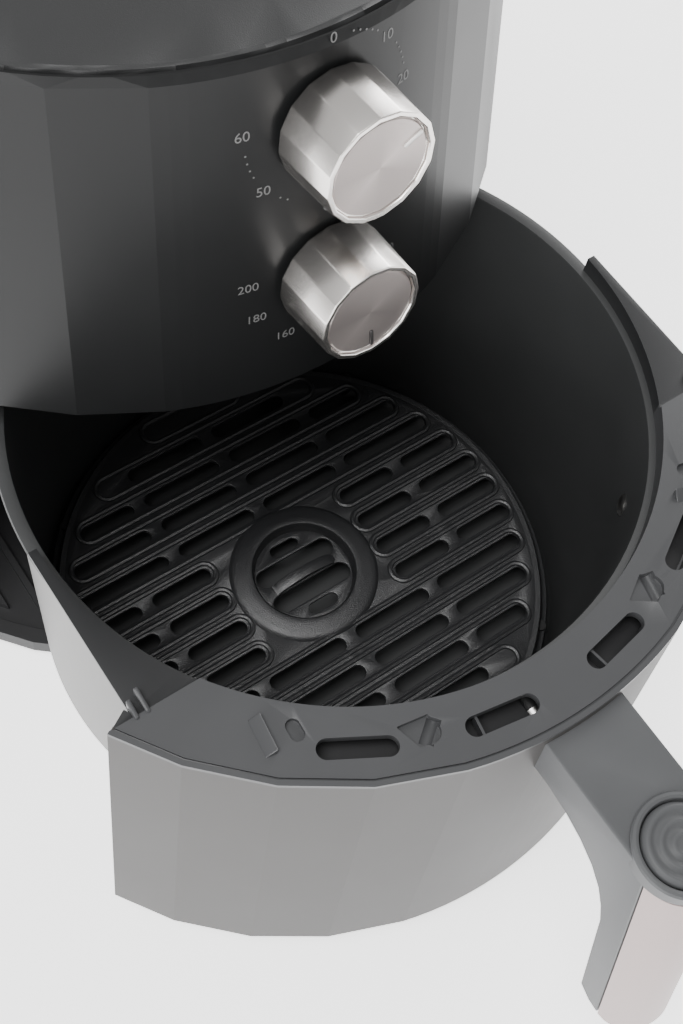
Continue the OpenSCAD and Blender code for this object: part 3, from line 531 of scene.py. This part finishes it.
# ---------------------------------------------------------------- pan and grill
def make_pan():
    inner, outer, corner = 0.0994, 0.1006, 0.009
    floor, rim = 0.015, 0.1544
    wall = outer - inner
    steps = 8
    outside = [(0.0, floor)]
    for i in range(steps + 1):
        a = math.pi / 2 * i / steps
        outside.append((outer - corner + corner * math.sin(a), floor + corner - corner * math.cos(a)))
    outside += [(outer, rim - 0.0026), (outer + 0.0006, rim - 0.0018), (outer + 0.0022, rim - 0.0016),
                (0.1036, rim - 0.0013), (0.1040, rim - 0.0007), (0.1036, rim - 0.0001), (0.1015, rim),
                (inner + 0.0003, rim - 0.0004), (inner, rim - 0.0012)]
    inside = []
    for i in range(steps, -1, -1):
        a = math.pi / 2 * i / steps
        inside.append((inner - (corner - wall) + (corner - wall) * math.sin(a),
                       floor + corner - (corner - wall) * math.cos(a)))
    inside.append((0.0, floor + wall))
    pan = turned(outside + inside, (0, PAN_Y), steps=144)
    pan.data.materials.clear()
    pan.data.materials.append(MATERIALS["pan_coating"])
    pan.data.materials.append(MATERIALS["pan_outside"])
    for face in pan.data.polygons:
        radius = math.hypot(face.center.x, face.center.y - PAN_Y)
        away = face.normal.x * face.center.x + face.normal.y * (face.center.y - PAN_Y)
        if (away > 0.3 * radius and radius > inner + 0.0006 and face.center.z < rim - 0.002) or face.normal.z < -0.5:
            face.material_index = 1
    finish(pan, "pan_shell", "drawer", "pan_coating", ["pan"], angle=40, material=False)
    for index, angle in enumerate((-46, 46)):
        rivet = turned([(0.0, 0.0), (0.0036, 0.0), (0.0037, 0.0003), (0.0031, 0.0010), (0.0017, 0.0015),
                        (0.0, 0.0016)], steps=32)
        heading = math.radians(angle)
        rivet.matrix_world = (Matrix.Translation((0, PAN_Y, 0.127)) @ Matrix.Rotation(heading, 4, "Z")
                              @ Matrix.Translation((0, -inner + 0.0001, 0)) @ Matrix.Rotation(-math.pi / 2, 4, "X"))
        apply_place(rivet)
        names = ["pan_rivets"] if index == 0 else []
        finish(rivet, "rivet_%d" % (index + 1), "drawer", "screw_steel", names, angle=40)


GRILL_R, GRILL_Z = 0.0925, 0.031
ROW_PITCH, SLOT_W = 0.013, 0.0058


def grill_rows():
    """Each slot of the grill plate as (left end, right end, y), and each raised outline likewise."""
    slots, outlines = [], []
    edge = GRILL_R - 0.003
    for row in range(7):
        for side in (-1, 1):
            y = side * (row + 0.5) * ROW_PITCH
            far = math.sqrt(edge ** 2 - (abs(y) + SLOT_W / 2) ** 2)
            near_start, near_end = (0.031, 0.056) if row < 2 else (0.0028, 0.0365)
            for way in (-1, 1):
                def add(start, end):
                    slots.append((min(way * start, way * end), max(way * start, way * end), y))
                if row < 6:
                    add(near_start, min(near_end, far))
                if far > near_end + 0.016:
                    add(near_end + 0.0055, far)
                if row < 2:
                    ends = sorted((way * (near_start - 0.0022), way * (far + 0.001)))
                    outlines.append((ends[0], ends[1], y))
            if 2 <= row < 6:
                outlines.append((-far - 0.001, far + 0.001, y))
            elif row == 6:
                outlines.append((-0.022, 0.022, y))
    return slots, outlines


def ridge(left, right, y, width=0.0098, height=0.0011):
    """A raised rounded outline: a ring whose two halves are moved apart, then flattened."""
    deselect()
    bpy.ops.mesh.primitive_torus_add(major_segments=24, minor_segments=8, major_radius=width / 2,
                                     minor_radius=0.00115, location=(0, 0, 0), rotation=(0, 0, math.pi / 24))
    piece = bpy.context.object
    apply_place(piece)
    piece.scale = (1, 1, height / 0.00115)
    piece.location = ((left + right) / 2, PAN_Y + y, GRILL_Z - 0.0001)
    apply_place(piece)
    spread_ends(piece, (left + right) / 2, (right - left - width) / 2)
    return piece


def arched_bar(length, width, z, thickness, rise):
    """The finger bar over the middle: a flat bar cut into short steps that are lifted into an arch."""
    bar = stadium(length, width, z, z + thickness, 0, PAN_Y)
    cuts = 12
    places = [length * (2 * i / cuts - 1) / 2 for i in range(1, cuts)]
    edit(bar)
    for x in places:
        bpy.ops.mesh.select_all(action="SELECT")
        bpy.ops.mesh.bisect(plane_co=(x, PAN_Y, 0), plane_no=(1, 0, 0))
    for x in places:
        pick(bar, lambda v: abs(v.co.x - x) < 0.0001)
        bpy.ops.transform.translate(value=(0, 0, rise * (1 - (2 * x / length) ** 2)))
    leave_edit()
    bevel(bar, 0.0003, 2, 50)
    return bar


def make_grill():
    slots, outlines = grill_rows()
    deselect()
    bpy.ops.mesh.primitive_cylinder_add(vertices=128, radius=GRILL_R, depth=0.0015,
                                        location=(0, PAN_Y, GRILL_Z - 0.00075))
    plate = bpy.context.object
    apply_place(plate)
    cutters = [stadium(right - left, SLOT_W, GRILL_Z - 0.006, GRILL_Z + 0.004, (left + right) / 2, PAN_Y + y)
               for left, right, y in slots if right - left > SLOT_W + 0.002]
    hole = turned([(0.0, GRILL_Z - 0.006), (0.0196, GRILL_Z - 0.006), (0.0196, GRILL_Z + 0.006),
                   (0.0, GRILL_Z + 0.006)], (0, PAN_Y), steps=64)
    cut(plate, join(cutters))
    cut(plate, hole)
    bevel(plate, 0.0004, 2, 40)
    rim = turned([(GRILL_R - 0.0008, GRILL_Z), (GRILL_R + 0.0012, GRILL_Z + 0.0001), (GRILL_R + 0.0020, GRILL_Z - 0.0010),
                  (GRILL_R + 0.0024, GRILL_Z - 0.0034), (GRILL_R + 0.0032, GRILL_Z - 0.0041),
                  (0.0970, GRILL_Z - 0.0042), (0.0972, GRILL_Z - 0.0048), (0.0970, GRILL_Z - 0.0054),
                  (GRILL_R + 0.0012, GRILL_Z - 0.0054), (GRILL_R - 0.0008, GRILL_Z - 0.0015)],
                 (0, PAN_Y), steps=128, closed=True)
    ring = turned([(0.0190, GRILL_Z - 0.0030), (0.0196, GRILL_Z - 0.0004), (0.0199, GRILL_Z + 0.0014),
                   (0.0205, GRILL_Z + 0.0022), (0.0214, GRILL_Z + 0.0024), (0.0235, GRILL_Z + 0.0021),
                   (0.0258, GRILL_Z + 0.0017), (0.0274, GRILL_Z + 0.0014), (0.0284, GRILL_Z + 0.0009),
                   (0.0292, GRILL_Z + 0.0001), (0.0292, GRILL_Z - 0.0012), (0.0196, GRILL_Z - 0.0034)],
                  (0, PAN_Y), steps=96, closed=True)
    deselect()
    bpy.ops.mesh.primitive_cylinder_add(vertices=64, radius=0.0196, depth=0.0013,
                                        location=(0, PAN_Y, GRILL_Z - 0.0030))
    dish = bpy.context.object
    apply_place(dish)
    tools = [stadium(0.0125, 0.0046, GRILL_Z - 0.01, GRILL_Z + 0.004, 0, PAN_Y + side * 0.0140) for side in (-1, 1)]
    tools += [stadium(0.0345, 0.0078, GRILL_Z - 0.01, GRILL_Z + 0.004, 0, PAN_Y + side * 0.0062) for side in (-1, 1)]
    cut(dish, join(tools))
    bevel(dish, 0.0003, 2, 40)
    finger = arched_bar(0.030, 0.0046, GRILL_Z - 0.0036, 0.0012, 0.0040)
    ridges = [ridge(left, right, y) for left, right, y in outlines]
    grill = join([plate, rim, ring, dish, finger] + ridges)
    finish(grill, "grill", "grill", "grill_coating", ["grill_plate"], angle=40)


# ---------------------------------------------------------------- drawer front
COLLAR_Z = 0.162


def on_collar(angle, radius, z):
    """A place on the collar: +Y towards the pan, -Y out to the front."""
    return (Matrix.Translation((0, DRAWER_Y, 0)) @ Matrix.Rotation(math.radians(angle), 4, "Z")
            @ Matrix.Translation((0, -radius, z)))


def make_drawer_front():
    facade = from_node("front_panel")
    finish(facade, "facade", "drawer", "panel_paint", ["front_panel"], angle=4.5)
    make_collar()


def collar_fin(angle, radius, turn, length, width, height):
    """A wedge on the collar that rises sideways to one long sharp edge."""
    fin = block((-width, -length / 2, -0.0006), (0, length / 2, height))
    edit(fin)
    pick(fin, lambda v: v.co.z > 0 and v.co.x < -width / 2)
    bpy.ops.transform.translate(value=(0, 0, -height))
    leave_edit()
    bevel(fin, 0.0003, 2, 40)
    fin.matrix_world = on_collar(angle, radius, COLLAR_Z) @ Matrix.Rotation(math.radians(turn), 4, "Z")
    apply_place(fin)
    return fin


def make_collar():
    collar = from_node("pan_collar")
    ear_y, ear_drop = DRAWER_Y - 0.0645, 0.0016
    cut(collar, block((-0.125, ear_y, COLLAR_Z - ear_drop), (-0.030, DRAWER_Y + 0.01, COLLAR_Z + 0.01)))
    cut(collar, block((0.030, ear_y, COLLAR_Z - ear_drop), (0.125, DRAWER_Y + 0.01, COLLAR_Z + 0.01)))
    for angle, turn in ((-37.9, -56), (41.5, -56)):
        notch = stadium(0.0068, 0.0042, -0.0018, 0.004)
        notch.matrix_world = on_collar(angle, 0.1147, COLLAR_Z) @ Matrix.Rotation(math.radians(turn), 4, "Z")
        apply_place(notch)
        cut(collar, notch)
    fins = [collar_fin(-41.3, 0.1166, 34, 0.0115, 0.0036, 0.0026), collar_fin(38.1, 0.1166, 34, 0.0115, 0.0036, 0.0026)]
    for side in (-1, 1):
        for x, depth in ((0.1003, 0.0090), (0.1037, 0.0070)):
            rib = block((side * x - 0.0007, DRAWER_Y - 0.0672, COLLAR_Z - 0.002),
                        (side * x + 0.0007, DRAWER_Y - 0.0672 + depth, COLLAR_Z + 0.0024))
            edit(rib)
            pick(rib, lambda v: v.co.z > COLLAR_Z and v.co.y < DRAWER_Y - 0.0660)
            bpy.ops.transform.translate(value=(0, 0.0018, -0.0018))
            leave_edit()
            bevel(rib, 0.0005, 2, 40)
            fins.append(rib)
    for angle in (-20.2, 20.2):
        deselect()
        bpy.ops.mesh.primitive_cylinder_add(vertices=48, radius=0.0023, depth=0.0078, rotation=(0, math.pi / 2, 0))
        trough = bpy.context.object
        apply_place(trough)
        trough.matrix_world = (on_collar(angle, 0.1172, COLLAR_Z - 0.0003) @ Matrix.Translation((0.0004, 0, 0))
                               @ Matrix.Rotation(math.radians(57), 4, "Z"))
        apply_place(trough)
        cut(collar, trough)
    bevel(collar, 0.0004, 2, 50)
    for angle in (-9.9, 9.9):
        rib = block((-0.0004, -0.0031, -0.0060), (0.0004, 0.0031, -0.0022))
        rib.matrix_world = on_collar(angle, 0.1192, COLLAR_Z) @ Matrix.Translation((-0.0065, 0, 0))
        apply_place(rib)
        fins.append(rib)
    collar = join([collar] + fins)
    collar.data.materials.clear()
    collar.data.materials.append(MATERIALS["collar_plastic"])
    collar.data.materials.append(MATERIALS["ear_painted_shade"])
    # The lowered ear faces get the darker copy of the collar plastic, as painted shade.
    for face in collar.data.polygons:
        if face.center.y > ear_y - 0.0001 and face.center.z > 0.150 and face.center.z < COLLAR_Z - 0.0010:
            face.material_index = 1
    finish(collar, "collar", "drawer", "collar_plastic", ["pan_collar"], angle=25, material=False)


def outline_block(points, low_x, high_x):
    """A closed (y, z) outline, drawn by extruding a vertex, filled, and pulled out sideways."""
    deselect()
    bpy.ops.mesh.primitive_plane_add(size=0.001, location=(low_x, points[0][0], points[0][1]))
    piece = bpy.context.object
    bpy.ops.object.mode_set(mode="EDIT")
    bpy.ops.mesh.select_mode(type="VERT")
    bpy.ops.mesh.select_all(action="SELECT")
    bpy.ops.mesh.merge(type="CENTER")
    here = points[0]
    for point in points[1:] + [points[0]]:
        bpy.ops.mesh.extrude_region_move(
            TRANSFORM_OT_translate={"value": (0, point[0] - here[0], point[1] - here[1])})
        here = point
    bpy.ops.mesh.select_all(action="SELECT")
    bpy.ops.mesh.remove_doubles(threshold=0.000001)
    bpy.ops.mesh.edge_face_add()
    bpy.ops.mesh.extrude_region_move(TRANSFORM_OT_translate={"value": (high_x - low_x, 0, 0)})
    bpy.ops.mesh.select_all(action="SELECT")
    bpy.ops.mesh.normals_make_consistent(inside=False)
    leave_edit()
    apply_place(piece)
    return piece


HANDLE_REACH, HANDLE_TOP, HANDLE_HALF = 0.172, 0.158, 0.014
LEAN = 0.024 / 0.106


def leaning(y, z):
    """The y of a line on the grip that passes through y at the handle's top."""
    return DRAWER_Y + y - LEAN * (HANDLE_TOP - z)


def make_handle():
    top = HANDLE_TOP
    side = [(DRAWER_Y - 0.1285, top), (DRAWER_Y - 0.1862, top), (leaning(-0.1862, 0.0560), 0.0560),
            (leaning(-0.1830, 0.0530), 0.0530), (leaning(-0.1760, 0.0521), 0.0521),
            (leaning(-0.1680, 0.0532), 0.0532), (leaning(-0.1635, 0.0570), 0.0570),
            (leaning(-0.1630, 0.1080), 0.1080), (DRAWER_Y - 0.1712, 0.1160), (DRAWER_Y - 0.1670, 0.1235),
            (DRAWER_Y - 0.1612, 0.1300), (DRAWER_Y - 0.1540, 0.1350), (DRAWER_Y - 0.1460, 0.1384),
            (DRAWER_Y - 0.1370, 0.1400), (DRAWER_Y - 0.1285, 0.1403)]
    body = outline_block(side, -HANDLE_HALF - 0.002, HANDLE_HALF + 0.002)
    deselect()
    bpy.ops.mesh.primitive_cylinder_add(vertices=64, radius=HANDLE_HALF, depth=0.125,
                                        location=(0, DRAWER_Y - HANDLE_REACH, top + 0.004 - 0.0625))
    plan = bpy.context.object
    apply_place(plan)
    edit(plan)
    pick(plan, lambda v: v.co.y > DRAWER_Y - HANDLE_REACH + 0.0001)
    bpy.ops.transform.translate(value=(0, 0.09, 0))
    bpy.ops.transform.resize(value=(1, 0, 1))
    pick(plan, lambda v: v.co.z < 0.05)
    bpy.ops.transform.translate(value=(0, -LEAN * 0.125, 0))
    leave_edit()
    lift = LEAN * 0.004
    plan.matrix_world = Matrix.Translation((0, lift, 0))
    apply_place(plan)
    cut(body, plan, "INTERSECT")
    front = copy_of(body)
    shell_cutter = outline_block([(leaning(-0.1725, 0.1530), 0.1530), (DRAWER_Y - 0.26, 0.1530),
                                  (DRAWER_Y - 0.26, 0.03), (leaning(-0.1725, 0.03), 0.03)], -0.03, 0.03)
    plate_cutter = outline_block([(leaning(-0.1729, 0.1526), 0.1526), (DRAWER_Y - 0.26, 0.1526),
                                  (DRAWER_Y - 0.26, 0.03), (leaning(-0.1729, 0.03), 0.03)], -0.03, 0.03)
    cut(body, shell_cutter)
    cut(front, plate_cutter, "INTERSECT")
    well = turned([(0.0, top - 0.0042), (0.0121, top - 0.0042), (0.0121, top + 0.004), (0.0, top + 0.004)],
                  (0, DRAWER_Y - HANDLE_REACH), steps=64)
    cut(body, well)
    bevel(body, 0.0012, 3, 40)
    bevel(front, 0.0006, 3, 40)
    ring = turned([(0.0122, top - 0.0020), (0.0122, top + 0.0004), (0.0126, top + 0.0011), (0.0134, top + 0.0014),
                   (0.0142, top + 0.0012), (0.0147, top + 0.0005), (0.0148, top - 0.0045),
                   (0.0144, top - 0.0052), (0.0138, top - 0.0052)], (0, DRAWER_Y - HANDLE_REACH), steps=96,
                  closed=True)
    body = join([body, ring])
    finish(body, "handle", "drawer", "collar_plastic", ["handle_shell"], angle=30,
           material=MATERIALS["handle_plastic"])
    finish(front, "handle_plate", "drawer", "handle_metal", ["handle_front_plate"], angle=30)
    rings = [(0.0, 0.1590), (0.0016, 0.1589), (0.0022, 0.1592), (0.0029, 0.1595), (0.0036, 0.1592),
             (0.0043, 0.1586), (0.0050, 0.1586), (0.0057, 0.1592), (0.0064, 0.1596), (0.0071, 0.1593),
             (0.0078, 0.1587), (0.0085, 0.1587), (0.0092, 0.1594), (0.0099, 0.1599), (0.0107, 0.1597),
             (0.0114, 0.1590), (0.0118, 0.1583), (0.0118, 0.1576), (0.0, 0.1576)]
    button = turned(rings, (0, DRAWER_Y - HANDLE_REACH), steps=96)
    finish(button, "button", "button", "collar_plastic", ["release_button"], angle=60,
           material=MATERIALS["handle_plastic"])


make_body()
make_controls()
make_pan()
make_grill()
make_drawer_front()
make_handle()


# ---------------------------------------------------------------- floor and light
def make_studio():
    deselect()
    bpy.ops.mesh.primitive_plane_add(size=12, location=(0, 0, 0))
    floor = bpy.context.object
    floor.name = "floor"
    ground = bpy.data.materials.new("pale_floor")
    ground.use_nodes = True
    ground.node_tree.nodes["Principled BSDF"].inputs["Base Color"].default_value = (0.93, 0.93, 0.93, 1)
    ground.node_tree.nodes["Principled BSDF"].inputs["Roughness"].default_value = 0.9
    ground.node_tree.nodes["Principled BSDF"].inputs["Emission Color"].default_value = (1, 1, 1, 1)
    ground.node_tree.nodes["Principled BSDF"].inputs["Emission Strength"].default_value = 1.8
    floor.data.materials.append(ground)
    world = bpy.data.worlds.new("studio")
    bpy.context.scene.world = world
    world.use_nodes = True
    world.node_tree.nodes["Background"].inputs["Color"].default_value = (1, 1, 1, 1)
    world.node_tree.nodes["Background"].inputs["Strength"].default_value = 0.55
    for name, place, target, size, power in (
            ("key", (-0.6, -0.15, 1.7), (0, -0.05, 0.1), 0.9, 24),
            ("fill", (-1.4, -0.6, 0.45), (0, 0, 0.2), 1.2, 20),
            ("rim", (1.3, 0.6, 0.9), (0, 0, 0.15), 1.0, 16)):
        light_data = bpy.data.lights.new(name, "AREA")
        light_data.shape = "DISK"
        light_data.size = size
        light_data.energy = power
        light = bpy.data.objects.new(name, light_data)
        light.location = place
        light.rotation_euler = (Vector(target) - Vector(place)).to_track_quat("-Z", "Y").to_euler()
        bpy.context.scene.collection.objects.link(light)


make_studio()
